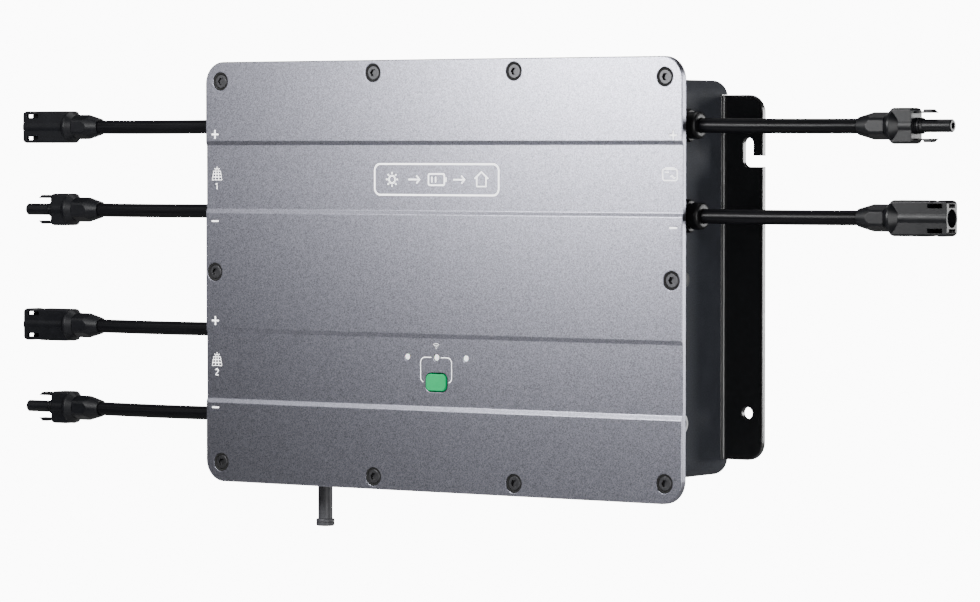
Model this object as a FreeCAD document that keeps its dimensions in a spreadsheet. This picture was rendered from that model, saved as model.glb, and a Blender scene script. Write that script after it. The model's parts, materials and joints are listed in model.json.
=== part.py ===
"""Wall-mounted solar hub controller with six plug-in leads, built as separate named pieces.

Frame: +Z is up, +Y points into the wall and the front cover faces -Y. The origin is the centre
of the plane where the hub meets the wall. All lengths are millimetres.
"""

import FreeCAD, Part
import math
import os
import re

import Sketcher
from FreeCAD import Placement, Rotation, Vector

DIMENSIONS = {
    # overall size
    "overall_depth": 64.0,
    # front cover
    "cover_width": 330.0,
    "cover_height": 246.0,
    "cover_thick": 4.0,
    "cover_corner": 12.8,
    "cover_edge": 0.45,
    "upper_band_low": 35.8,
    "lower_band_high": 34.2,
    "band_outer": 75.5,
    "band_depth": 1.2,
    "band_slope": 2.3,
    "mark_span": 5.3,
    "mark_stroke": 1.5,
    "mark_depth": 0.12,
    # cover screws and gasket
    "corner_screw_x": 153.8,
    "corner_screw_z": 111.6,
    "edge_screw_z": 115.6,
    "edge_screw_left": 43.6,
    "edge_screw_right": 53.8,
    "side_screw_x": 158.2,
    "screw_head_radius": 4.1,
    "screw_head_length": 2.2,
    "screw_head_sink": 0.4,
    "counterbore_radius": 5.4,
    "screw_shank_radius": 2.0,
    "screw_hole_radius": 2.2,
    "screw_key_radius": 2.2,
    "screw_key_depth": 1.5,
    "screw_head_edge": 0.35,
    "gasket_thick": 1.0,
    "gasket_width": 321.0,
    "gasket_height": 237.0,
    "gasket_corner": 8.5,
    # housing
    "rim_width": 324.0,
    "rim_height": 240.0,
    "rim_corner": 9.5,
    "rim_thick": 4.0,
    "body_width": 312.0,
    "body_height": 220.8,
    "body_corner": 10.0,
    "body_rear_round": 2.0,
    "wall_thick": 3.0,
    "floor_inside": 18.0,
    "fin_depth": 14.0,
    "fin_field_half": 118.0,
    "fin_pitch": 10.0,
    "fin_thick": 2.4,
    "centre_rib_half": 5.0,
    "channel_half": 124.0,
    "channel_inside": 10.5,
    "pedestal_top": 31.0,
    "pedestal_length": 90.0,
    "pedestal_height": 16.0,
    "pedestal_x": 68.0,
    "pedestal_z": -5.0,
    # wall brackets
    "sheet_thick": 3.0,
    "bend_inside": 1.5,
    "bend_start": 153.0,
    "flange_offset": 3.1,
    "flange_edge": 181.5,
    "bracket_inner": 128.0,
    "bracket_top": 102.1,
    "bracket_bottom": 101.2,
    "bracket_corner": 10.0,
    "bracket_play": 0.15,
    "upstand_thick": 3.0,
    "upstand_front": 8.7,
    "upstand_cove": 1.4,
    "hook_left": 168.8,
    "hook_width": 6.6,
    "hook_top": 78.4,
    "hook_bottom": 62.1,
    "hook_mouth_top": 68.3,
    "lower_hole_x": 171.7,
    "lower_hole_z": 74.9,
    "lower_hole_radius": 3.35,
    "bracket_screw_x": 138.0,
    "bracket_screw_z": 80.0,
    "bracket_screw_radius": 2.5,
    "bracket_screw_head": 4.6,
    "bracket_screw_length": 10.0,
    # button, light pipes and front board
    "button_z": -60.5,
    "button_width": 14.0,
    "button_height": 9.8,
    "button_corner": 3.0,
    "button_proud": 1.0,
    "button_gap": 0.6,
    "button_crown": 0.7,
    "button_flange": 1.5,
    "button_flange_thick": 1.0,
    "button_travel": 0.8,
    "stem_radius": 2.5,
    "light_z": -46.3,
    "light_pitch": 20.3,
    "light_radius": 1.85,
    "light_sink": 0.3,
    "front_board_width": 62.0,
    "front_board_height": 36.0,
    "front_board_z": -56.0,
    "front_board_gap": 8.4,
    "board_thick": 1.6,
    "standoff_x": 27.0,
    "standoff_z": 14.5,
    "standoff_radius": 2.6,
    "small_screw_radius": 1.0,
    # main board
    "main_board_front": 36.0,
    "main_board_width": 280.0,
    "main_board_top": 95.0,
    "main_board_bottom": 91.0,
    "boss_radius": 3.5,
    "boss_hole_radius": 1.5,
    "boss_outer_x": 110.0,
    "boss_inner_x": 38.0,
    "boss_top_z": 86.0,
    "boss_low_z": -80.0,
    # cable glands and leads
    "lead_axis": 49.0,
    "lead_radius": 4.05,
    "lead_hole_radius": 4.2,
    "gland_thread_radius": 6.0,
    "gland_hex_radius": 9.2,
    "gland_hex_length": 4.9,
    "gland_ring_thick": 0.8,
    "gland_ring_radius": 8.0,
    "gland_cap_radius": 7.5,
    "gland_cap_length": 6.2,
    "gland_cap_round": 1.8,
    "gland_seal_radius": 5.1,
    "gland_reach": 40.0,
    "gland_mouth": 168.0,
    "low_cap_shift": 1.8,
    "lead_meets_cable": 164.6,
    "end_gap": 0.05,
    "terminal_x": 128.0,
    # battery port, vent and antenna
    "port_axis": 51.2,
    "port_z": -79.2,
    "port_radius": 5.6,
    "port_bore_radius": 3.9,
    "port_bore_depth": 12.0,
    "port_flange": 1.6,
    "port_nut_radius": 7.4,
    "port_pin_radius": 0.8,
    "vent_axis": 47.2,
    "vent_radius": 4.3,
    "vent_neck_radius": 2.6,
    "vent_bore_radius": 1.2,
    "vent_head": 1.0,
    "antenna_x": -100.0,
    "antenna_axis": 34.0,
    "antenna_radius": 4.25,
    "antenna_tip_radius": 5.4,
    "antenna_tip_length": 4.2,
    "antenna_end": 148.6,
    "antenna_thread_radius": 3.15,
    "antenna_hex_length": 2.2,
    "antenna_collar": 4.0,
    # plug-in connectors, measured from the tail of the cap nut
    "right_tail": 268.0,
    "left_tail": 256.7,
    "nut_tail_radius": 5.0,
    "nut_radius": 7.4,
    "nut_hex_radius": 7.85,
    "nut_taper": 9.0,
    "nut_length": 17.8,
    "cable_depth": 14.0,
    "collar_start": 18.0,
    "collar_rise": 3.3,
    "collar_radius": 9.65,
    "block_half_width": 5.75,
    "block_half_height": 9.65,
    "block_corner": 2.6,
    "block_round": 1.3,
    "barrel_radius": 6.2,
    "socket_end": 56.0,
    "socket_bore_radius": 4.9,
    "socket_bore_depth": 18.0,
    "plug_block_end": 34.5,
    "plug_end": 56.5,
    "plug_radius": 3.5,
    "plug_rib_radius": 4.4,
    "plug_bore_depth": 16.0,
    "arm_inside": 6.8,
    "arm_outside": 7.7,
    "arm_hook": 8.8,
    "arm_half_width": 2.8,
    "contact_radius": 1.5,
    "crimp_radius": 2.2,
    # parts inside
    "coil_radius": 20.0,
    "coil_bore": 7.0,
    "coil_tall": 19.0,
    "coil_x": 66.0,
    "coil_z": 42.0,
    "capacitor_radius": 8.0,
    "capacitor_tall": 21.0,
    "device_width": 14.0,
    "device_height": 12.0,
    "device_thick": 2.4,
    "relay_x": 104.0,
    "relay_width": 13.0,
    "relay_height": 29.0,
    "relay_tall": 16.0,
    "terminal_width": 12.0,
    "terminal_height": 11.0,
    "terminal_tall": 19.0,
}

FRONT = "(-overall_depth)"
COVER_BACK = "(-overall_depth + cover_thick)"
BAND_FRONT = "(-overall_depth + band_depth)"
RIM_FRONT = "(-overall_depth + cover_thick + gasket_thick)"
RIM_BACK = f"({RIM_FRONT} + rim_thick)"
FLOOR = "(-floor_inside)"
BOARD_FRONT = "(-main_board_front)"
BOARD_BACK = "(-main_board_front + board_thick)"
FRONT_BOARD_FACE = f"({COVER_BACK} + front_board_gap)"
FRONT_BOARD_BACK = f"({FRONT_BOARD_FACE} + board_thick)"
WALL_X = "(body_width / 2)"
INSIDE_X = "(body_width / 2 - wall_thick)"
WALL_Z = "(body_height / 2)"
INSIDE_Z = "(body_height / 2 - wall_thick)"
PAST = 2.0
LONG = 30.0
THROUGH = (f"-{LONG}", f"{LONG}")

# engraved polarity marks on the cover, beside the leads: sign, x, z
POLARITY_MARKS = [
    ("+", -158.0, 80.6), ("-", -158.0, 29.8), ("+", -158.0, -28.6), ("-", -158.0, -79.6),
    ("+", 159.2, 79.5), ("-", 159.2, 28.9),
]

# rows and columns of the parts on the main board
CAPACITOR_COLUMNS = (-20, 0, 20)
CAPACITOR_ROWS = (28, 52)
DEVICE_PLACES = (-31.5, -10.5, 10.5, 31.5)
RELAY_ROWS = (0, -40)

UPRIGHT = Vector(0, 0, 1)
AXES = {
    "+x": Vector(1, 0, 0),
    "-x": Vector(-1, 0, 0),
    "+y": Vector(0, 1, 0),
    "-y": Vector(0, -1, 0),
    "+z": Vector(0, 0, 1),
    "-z": Vector(0, 0, -1),
}
PLANES = {"x": "YZ_Plane", "y": "XZ_Plane"}

# Height of each lead above the centre, with the kind of connector it ends in.
LEFT_LEADS = {
    "input_1_positive": (85.3, "socket"),
    "input_1_negative": (35.5, "plug"),
    "input_2_positive": (-34.3, "socket"),
    "input_2_negative": (-84.2, "plug"),
}
RIGHT_LEADS = {
    "output_positive": (85, "plug"),
    "output_negative": (35.2, "socket"),
}
# How far a connector hangs below the gland its lead leaves.
CONNECTOR_DROP = {"output_positive": 0.65}
CABLE_SAG = 0.5

doc = FreeCAD.newDocument("solar_hub")
sheet = doc.addObject("Spreadsheet::Sheet", "dims")
for row, (alias, number) in enumerate(DIMENSIONS.items(), start=1):
    sheet.set(f"A{row}", alias)
    sheet.set(f"B{row}", str(number))
    sheet.setAlias(f"B{row}", alias)
doc.recompute()

nodes = {}


# ---------------------------------------------------------------- helpers

def formula(text):
    """Point every dimension name in a formula at its cell of the sheet."""
    def cell(word):
        return f"dims.{word[0]}" if word[0] in DIMENSIONS else word[0]
    return re.sub(r"[a-z_]+", cell, str(text))


def number_of(text):
    """The value of a formula, for the few shapes that need it as a number."""
    value = sheet.evalExpression(formula(text))
    return float(getattr(value, "Value", value))


def bind(item, **formulas):
    for name, text in formulas.items():
        item.setExpression(name, formula(text))


def put(item, at):
    for letter, text in zip("xyz", at):
        item.setExpression(f"Placement.Base.{letter}", formula(text))


def box(label, x, y, z):
    """A box from its (low, high) limits along each axis."""
    item = doc.addObject("Part::Box", label)
    bind(item, Length=f"({x[1]}) - ({x[0]})", Width=f"({y[1]}) - ({y[0]})",
         Height=f"({z[1]}) - ({z[0]})")
    put(item, (x[0], y[0], z[0]))
    return item


def centred(middle, size):
    """The limits of a length about its middle."""
    return (f"({middle}) - ({size}) / 2", f"({middle}) + ({size}) / 2")


def rod(label, radius, start, axis, length):
    item = doc.addObject("Part::Cylinder", label)
    bind(item, Radius=radius, Height=length)
    item.Placement = Placement(Vector(), Rotation(UPRIGHT, AXES[axis]))
    put(item, start)
    return item


def cone(label, near, far, start, axis, length):
    item = doc.addObject("Part::Cone", label)
    bind(item, Radius1=near, Radius2=far, Height=length)
    item.Placement = Placement(Vector(), Rotation(UPRIGHT, AXES[axis]))
    put(item, start)
    return item


def hexagon(label, corner_radius, start, axis, length):
    item = doc.addObject("Part::Prism", label)
    item.Polygon = 6
    bind(item, Circumradius=corner_radius, Height=length)
    item.Placement = Placement(Vector(), Rotation(UPRIGHT, AXES[axis]))
    put(item, start)
    return item


def join(label, items):
    item = doc.addObject("Part::MultiFuse", label)
    item.Shapes = items
    item.Refine = True
    return item


def cut(label, base, tools):
    item = doc.addObject("Part::Cut", label)
    item.Base = base
    item.Tool = tools[0] if len(tools) == 1 else join(label + "_tools", tools)
    return item


def shared(label, first, second):
    item = doc.addObject("Part::Common", label)
    item.Base = first
    item.Tool = second
    return item


def group(label, items):
    """Several separate solids in one node."""
    item = doc.addObject("Part::Compound", label)
    item.Links = items
    return item


def copy_of(label, source, at, turn=None):
    """A linked copy of a piece, at a place of its own."""
    item = doc.addObject("App::Link", label)
    item.LinkedObject = source
    item.Placement = Placement(Vector(), turn or Rotation())
    put(item, at)
    return item


def turned(label, start, axis, steps):
    """A turned piece: each step is (near radius, far radius, length) along the axis."""
    index = "xyz".index(axis[1])
    pieces = []
    gone = "0"
    for count, (near, far, length) in enumerate(steps):
        at = list(start)
        at[index] = f"({start[index]}) {axis[0]} ({gone})"
        name = f"{label}_step_{count}"
        if near == far:
            pieces.append(rod(name, near, at, axis, length))
        else:
            pieces.append(cone(name, near, far, at, axis, length))
        gone = f"{gone} + {length}"
    return join(label, pieces)


def rounded_end(radius, size):
    """Steps for turned() that round the far end of a rod over a quarter circle."""
    turns = [math.radians(30 * count) for count in range(4)]
    return [
        (f"{radius} - {1 - math.cos(near):.4f} * {size}", f"{radius} - {1 - math.cos(far):.4f} * {size}",
         f"{math.sin(far) - math.sin(near):.4f} * {size}")
        for near, far in zip(turns, turns[1:])
    ]


def edges_along(shape, direction):
    """Names of the straight edges that run along a direction."""
    names = []
    for count, edge in enumerate(shape.Edges, start=1):
        if isinstance(edge.Curve, Part.Line) and abs(edge.tangentAt(0).dot(direction)) > 0.999:
            names.append(f"Edge{count}")
    return names


def edges_at(shape, place):
    """Names of the edges that lie wholly in the plane y = place."""
    names = []
    for count, edge in enumerate(shape.Edges, start=1):
        limits = edge.BoundBox
        if abs(limits.YMin - place) < 0.01 and abs(limits.YMax - place) < 0.01:
            names.append(f"Edge{count}")
    return names


def rectangle(sketch, width, height):
    """A rectangle about the sketch's origin, with its two sizes bound to the sheet."""
    corners = [Vector(-1, -1, 0), Vector(1, -1, 0), Vector(1, 1, 0), Vector(-1, 1, 0)]
    for count, corner in enumerate(corners):
        sketch.addGeometry(Part.LineSegment(corner, corners[(count + 1) % 4]))
    for count in range(4):
        sketch.addConstraint(Sketcher.Constraint("Coincident", count, 2, (count + 1) % 4, 1))
    for line in (0, 2):
        sketch.addConstraint(Sketcher.Constraint("Horizontal", line))
    for line in (1, 3):
        sketch.addConstraint(Sketcher.Constraint("Vertical", line))
    sketch.addConstraint(Sketcher.Constraint("Symmetric", 0, 1, 2, 1, -1, 1))
    for name, kind, line, size in (("width", "DistanceX", 0, width), ("height", "DistanceY", 1, height)):
        place = sketch.addConstraint(Sketcher.Constraint(kind, line, 1, line, 2, number_of(size)))
        sketch.renameConstraint(place, name)
        sketch.setExpression(f"Constraints.{name}", formula(size))


def rounded_bar(label, axis, width, height, corner, near, far, centre=("0", "0")):
    """A bar along x or y with rounded long edges, from near to far along that axis."""
    body = doc.addObject("PartDesign::Body", label)
    sketch = body.newObject("Sketcher::SketchObject", label + "_outline")
    planes = [part for part in body.Origin.OriginFeatures if part.Role == PLANES[axis]]
    sketch.AttachmentSupport = (planes[0], [""])
    sketch.MapMode = "FlatFace"
    rectangle(sketch, width, height)
    pad = body.newObject("PartDesign::Pad", label + "_pad")
    pad.Profile = sketch
    pad.Reversed = axis == "y"
    bind(pad, Length=f"({far}) - ({near})")
    doc.recompute()
    fillet = body.newObject("PartDesign::Fillet", label + "_corners")
    fillet.Base = (pad, edges_along(pad.Shape, AXES["+" + axis]))
    bind(fillet, Radius=corner)
    body.Tip = fillet
    doc.recompute()
    across, up = centre
    put(body, (near, across, up) if axis == "x" else (across, near, up))
    return body


def soften(body, kind, place, size):
    """Round or chamfer the edges of a rounded bar along y at one of its end faces."""
    base = body.Tip
    feature = body.newObject(f"PartDesign::{kind}", f"{body.Label}_{kind}_{place}")
    feature.Base = (base, edges_at(base.Shape, place))
    bind(feature, **{"Radius" if kind == "Fillet" else "Size": size})
    body.Tip = feature
    doc.recompute()


def node(name, item):
    """Name a finished piece and keep it for export."""
    item.Label = name
    nodes[name] = item
    return item


def mirrored(label, source):
    item = doc.addObject("Part::Mirroring", label)
    item.Source = source
    item.Normal = AXES["+x"]
    return item


def smooth_route(points):
    """Straight runs joined by tangent arcs, each as large as its two runs allow."""
    starts = [points[0]]
    arcs = []
    for before, point, after in zip(points, points[1:], points[2:]):
        back = (before - point).normalize()
        ahead = (after - point).normalize()
        half_turn = (math.pi - back.getAngle(ahead)) / 2
        reach = 0.45 * min(before.distanceToPoint(point), point.distanceToPoint(after))
        radius = reach / math.tan(half_turn)
        inward = (back + ahead).normalize()
        middle = point + inward * (radius / math.cos(half_turn) - radius)
        arcs.append((point + back * reach, middle, point + ahead * reach, radius))
        starts.append(point)
    edges = []
    place = points[0]
    for first, middle, last, _ in arcs:
        edges.append(Part.LineSegment(place, first).toShape())
        edges.append(Part.Arc(first, middle, last).toShape())
        place = last
    edges.append(Part.LineSegment(place, points[-1]).toShape())
    return Part.Wire(edges), [arc[3] for arc in arcs]


def tube(label, points, radius):
    """A round cable along a smooth route, with its volume and bend radii reported."""
    route, radii = smooth_route([Vector(*point) for point in points])
    start = route.Edges[0]
    section = Part.Wire(Part.makeCircle(radius, start.valueAt(start.FirstParameter),
                                        start.tangentAt(start.FirstParameter)))
    item = doc.addObject("Part::Feature", label)
    item.Shape = route.makePipeShell([section], True, True)
    item.Placement = Placement()
    expected = math.pi * radius ** 2 * route.Length
    bends = ", ".join(f"{bend:.0f}" for bend in radii)
    print(f"{label}: length {route.Length:.1f}, bend radii {bends},"
          f" volume over section times length {item.Shape.Volume / expected:.4f}")
    return item

# ---------------------------------------------------------------- fixing places

COVER_SCREW_PLACES = [
    (f"{side}corner_screw_x", f"{level}corner_screw_z") for side in ("-", "") for level in ("-", "")
] + [
    (place, f"{level}edge_screw_z")
    for place in ("-edge_screw_left", "edge_screw_right") for level in ("-", "")
] + [("-side_screw_x", "0"), ("side_screw_x", "0")]

BOSS_PLACES = [
    (f"{side}{place}", level)
    for side in ("-", "") for place in ("boss_outer_x", "boss_inner_x")
    for level in ("boss_top_z", "boss_low_z")
]

STANDOFF_PLACES = [
    (f"{side}standoff_x", f"front_board_z {level} standoff_z") for side in ("-", "") for level in "+-"
]

BRACKET_SCREW_HEIGHTS = ("-bracket_screw_z", "0", "bracket_screw_z")


def rods_at(label, places, radius, near, far):
    """Rods along y at a list of (x, z) places."""
    return [
        rod(f"{label}_{count}", radius, (x, near, z), "+y", f"({far}) - ({near})")
        for count, (x, z) in enumerate(places)
    ]


# ---------------------------------------------------------------- front cover

def band_recess(label, low, high):
    """The cut for one recessed band, with its two long edges sloped."""
    item = doc.addObject("Part::Wedge", label)
    reach = f"cover_width / 2 + {PAST}"
    bind(item, Xmin=f"-({reach})", Xmax=reach, X2min=f"-({reach})", X2max=reach,
         Ymin=f"{FRONT} - band_depth", Ymax=BAND_FRONT,
         Zmin=f"({low}) - 2 * band_slope", Zmax=f"({high}) + 2 * band_slope",
         Z2min=low, Z2max=high)
    return item


def engraved_marks():
    """Shallow cuts in the cover's face, one bar for a minus and two crossed bars for a plus."""
    tools = []
    for count, (sign, across, up) in enumerate(POLARITY_MARKS):
        depth = (f"{FRONT} - {PAST}", f"{FRONT} + mark_depth")
        half, thin = "mark_span / 2", "mark_stroke / 2"
        bars = [(half, thin), (thin, half)] if sign == "+" else [(half, thin)]
        for turn, (wide, high) in enumerate(bars):
            tools.append(box(f"mark_{count}_{turn}", (f"{across} - {wide}", f"{across} + {wide}"), depth,
                             (f"{up} - {high}", f"{up} + {high}")))
    return tools


def make_front_cover():
    plate = rounded_bar("cover_plate", "y", "cover_width", "cover_height", "cover_corner",
                        FRONT, COVER_BACK)
    soften(plate, "Chamfer", 0.0, "cover_edge")
    standoffs = rods_at("cover_standoff", STANDOFF_PLACES, "standoff_radius",
                        f"{COVER_BACK} - 0.5", FRONT_BOARD_FACE)
    blank = join("cover_blank", [plate] + standoffs)
    tools = [
        band_recess("upper_band", "upper_band_low + band_slope / 2", "band_outer - band_slope / 2"),
        band_recess("lower_band", "-band_outer + band_slope / 2", "-lower_band_high - band_slope / 2"),
        rounded_bar("button_opening", "y", "button_width + 2 * button_gap",
                    "button_height + 2 * button_gap", "button_corner + button_gap",
                    f"{FRONT} - {PAST}", f"{COVER_BACK} + {PAST}", ("0", "button_z")),
    ]
    seat = f"{FRONT} + screw_head_sink + screw_head_length"
    tools += rods_at("counterbore", COVER_SCREW_PLACES, "counterbore_radius", f"{FRONT} - {PAST}", seat)
    tools += rods_at("cover_hole", COVER_SCREW_PLACES, "screw_hole_radius",
                     f"{FRONT} - {PAST}", f"{COVER_BACK} + {PAST}")
    tools += rods_at("light_hole", light_places(), "light_radius + 0.05",
                     f"{FRONT} - {PAST}", f"{COVER_BACK} + {PAST}")
    tools += rods_at("standoff_hole", STANDOFF_PLACES, "small_screw_radius",
                     f"{COVER_BACK} + 1", f"{FRONT_BOARD_FACE} + {PAST}")
    tools += engraved_marks()
    node("front_cover", cut("front_cover", blank, tools))


def light_places():
    return [(f"{side} * light_pitch", "light_z") for side in (-1, 0, 1)]


def make_gasket():
    outer = rounded_bar("gasket_outer", "y", "gasket_width", "gasket_height", "gasket_corner",
                        COVER_BACK, RIM_FRONT)
    inner = rounded_bar("gasket_inner", "y", "body_width - 2 * wall_thick + 1",
                        "body_height - 2 * wall_thick + 1", "body_corner - wall_thick + 0.5",
                        f"{COVER_BACK} - {PAST}", f"{RIM_FRONT} + {PAST}")
    holes = rods_at("gasket_hole", COVER_SCREW_PLACES, "screw_hole_radius",
                    f"{COVER_BACK} - {PAST}", f"{RIM_FRONT} + {PAST}")
    node("cover_gasket", cut("cover_gasket", outer, [inner] + holes))


def socket_screw(label, head_radius, head_length, shank_radius, shank_length, key_radius, key_depth):
    """A socket-head screw along +y with the front of its head at the origin."""
    origin = ("0", "0", "0")
    solid = turned(label + "_solid", origin, "+y",
                   [(f"{head_radius} - screw_head_edge", head_radius, "screw_head_edge"),
                    (head_radius, head_radius, f"{head_length} - screw_head_edge"),
                    (shank_radius, shank_radius, shank_length)])
    key = hexagon(label + "_key", key_radius, ("0", "-1", "0"), "+y", f"{key_depth} + 1")
    return cut(label, solid, [key])


def make_cover_screws():
    length = f"{RIM_BACK} - ({FRONT} + screw_head_sink + screw_head_length)"
    screw = socket_screw("cover_screw", "screw_head_radius", "screw_head_length",
                         "screw_shank_radius", length, "screw_key_radius", "screw_key_depth")
    copies = [
        copy_of(f"cover_screw_{count}", screw, (x, f"{FRONT} + screw_head_sink", z))
        for count, (x, z) in enumerate(COVER_SCREW_PLACES)
    ]
    node("cover_screws", group("cover_screws", copies))


# ---------------------------------------------------------------- housing

def fin_gaps():
    """The open slots between the vertical cooling fins, on both sides of the centre rib."""
    field = number_of("fin_field_half - centre_rib_half")
    fins = int(field // number_of("fin_pitch"))
    gaps = []
    for side in (-1, 1):
        for count in range(fins):
            near = f"centre_rib_half + {count} * fin_pitch"
            far = f"{near} + fin_pitch - fin_thick"
            limits = (near, far) if side > 0 else (f"-({far})", f"-({near})")
            gaps.append(box(f"fin_gap_{count}_{side + 1}", limits, ("-fin_depth", PAST),
                            (f"-{WALL_Z} - {PAST}", f"{WALL_Z} + {PAST}")))
    return gaps


def bracket_seats():
    """The rear pockets that hold the brackets: one for the leg, one for the upstand."""
    tools = []
    low = "-bracket_bottom - bracket_play"
    high = "bracket_top + bracket_play"
    for side in (-1, 1):
        seats = {
            "leg_seat": ("bracket_inner - bracket_play", ("-sheet_thick", PAST)),
            "upstand_seat": (f"{WALL_X} - upstand_thick - bracket_play",
                             ("-upstand_front - bracket_play", "-sheet_thick + 0.1")),
        }
        for name, (near, depth) in seats.items():
            limits = (near, f"{WALL_X} + {PAST}")
            if side < 0:
                limits = (f"-({limits[1]})", f"-({limits[0]})")
            tools.append(box(f"{name}_{side + 1}", limits, depth, (low, high)))
    return tools


def rim_reliefs():
    """Notches in the back of the rim that give each gland and the port room beside the wall."""
    fittings = [
        (side, "lead_axis", level, "gland_hex_radius + 0.4", "gland_ring_radius + 0.4")
        for side, table in ((-1, LEFT_LEADS), (1, RIGHT_LEADS)) for level, _ in table.values()
    ]
    fittings.append((1, "port_axis", "port_z", "port_radius + 0.4", "port_radius + 0.4"))
    tools = []
    for count, (side, axis, level, half, reach) in enumerate(fittings):
        limits = (WALL_X, f"rim_width / 2 + {PAST}")
        if side < 0:
            limits = (f"-({limits[1]})", f"-({limits[0]})")
        tools.append(box(f"rim_relief_{count}", limits, (f"-{axis} - ({reach})", f"-{axis}"),
                         (f"{level} - ({half})", f"{level} + {half}")))
    return tools


def make_housing():
    shell = rounded_bar("housing_shell", "y", "body_width", "body_height", "body_corner",
                        RIM_FRONT, "0")
    soften(shell, "Fillet", number_of(f"0 - {RIM_FRONT}"), "body_rear_round")
    rim = rounded_bar("housing_rim", "y", "rim_width", "rim_height", "rim_corner", RIM_FRONT, RIM_BACK)
    cavity = rounded_bar("housing_cavity", "y", "body_width - 2 * wall_thick",
                         "body_height - 2 * wall_thick", "body_corner - wall_thick",
                         f"{RIM_FRONT} - {PAST}", FLOOR)
    channels = [
        box(f"side_channel_{side + 1}", limits, (f"{FLOOR} - 1", "-channel_inside"),
            (f"-{INSIDE_Z}", INSIDE_Z))
        for side, limits in ((-1, (f"-{INSIDE_X}", "-channel_half")), (1, ("channel_half", INSIDE_X)))
    ]
    hollow = cut("housing_hollow", join("housing_outside", [shell, rim]), [cavity] + channels)
    adds = rods_at("board_boss", BOSS_PLACES, "boss_radius", BOARD_BACK, f"{FLOOR} + 1")
    for side in (-1, 1):
        adds += rods_at(f"bracket_boss_{side + 1}",
                        [(f"{side} * bracket_screw_x", z) for z in BRACKET_SCREW_HEIGHTS],
                        "bracket_screw_head", "-bracket_screw_length - 2", "-channel_inside + 1")
        adds.append(box(f"pedestal_{side + 1}", centred(f"{side} * pedestal_x", "pedestal_length"),
                        ("-pedestal_top", f"{FLOOR} + 1"), centred("pedestal_z", "pedestal_height")))
    solid = join("housing_solid", [hollow] + adds)
    tools = fin_gaps() + bracket_seats() + rim_reliefs()
    tools += rods_at("rim_hole", COVER_SCREW_PLACES, "screw_shank_radius",
                     f"{RIM_FRONT} - {PAST}", f"{RIM_BACK} + {PAST}")
    tools += rods_at("boss_hole", BOSS_PLACES, "boss_hole_radius", f"{BOARD_BACK} - 1",
                     f"{BOARD_BACK} + 10")
    for side, leads in ((-1, LEFT_LEADS), (1, RIGHT_LEADS)):
        tools += rods_at(f"bracket_screw_hole_{side + 1}",
                         [(f"{side} * bracket_screw_x", z) for z in BRACKET_SCREW_HEIGHTS],
                         "bracket_screw_radius", "-bracket_screw_length", PAST)
        for name, (level, _) in leads.items():
            tools.append(rod(f"gland_hole_{name}", "gland_thread_radius",
                             (f"{side} * ({INSIDE_X}) - {side}", "-lead_axis", level),
                             "+x" if side > 0 else "-x", "wall_thick + 3"))
    tools.append(rod("port_hole", "port_radius - 1", (f"{INSIDE_X} - 1", "-port_axis", "port_z"),
                     "+x", "wall_thick + 3"))
    tools.append(rod("vent_hole", "vent_neck_radius", (f"{INSIDE_X} - 1", "-vent_axis", "0"),
                     "+x", "wall_thick + 3"))
    tools.append(rod("antenna_hole", "antenna_thread_radius + 0.05",
                     ("antenna_x", "-antenna_axis", f"-{INSIDE_Z} + 1"), "-z", "wall_thick + 3"))
    node("housing", cut("housing", solid, tools))


# ---------------------------------------------------------------- wall brackets

BEND_OUTSIDE = "(bend_inside + sheet_thick)"
BEND_ANGLE = "acos(1 - flange_offset / (2 * bend_inside + sheet_thick))"
FLANGE_START = f"(bend_start + (2 * bend_inside + sheet_thick) * sin({BEND_ANGLE}))"


def bend(label, centre_x, centre_y, first_angle):
    """One bend of the sheet: a ring sector about a vertical axis."""
    outer = doc.addObject("Part::Cylinder", label + "_outer")
    low = "-bracket_bottom"
    bind(outer, Radius=BEND_OUTSIDE, Height="bracket_top + bracket_bottom", Angle=BEND_ANGLE)
    outer.Placement = Placement(Vector(), Rotation(UPRIGHT, number_of(first_angle)))
    put(outer, (centre_x, centre_y, low))
    inner = rod(label + "_inner", "bend_inside", (centre_x, centre_y, f"{low} - 1"), "+z",
                "bracket_top + bracket_bottom + 2")
    return cut(label, outer, [inner])


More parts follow.
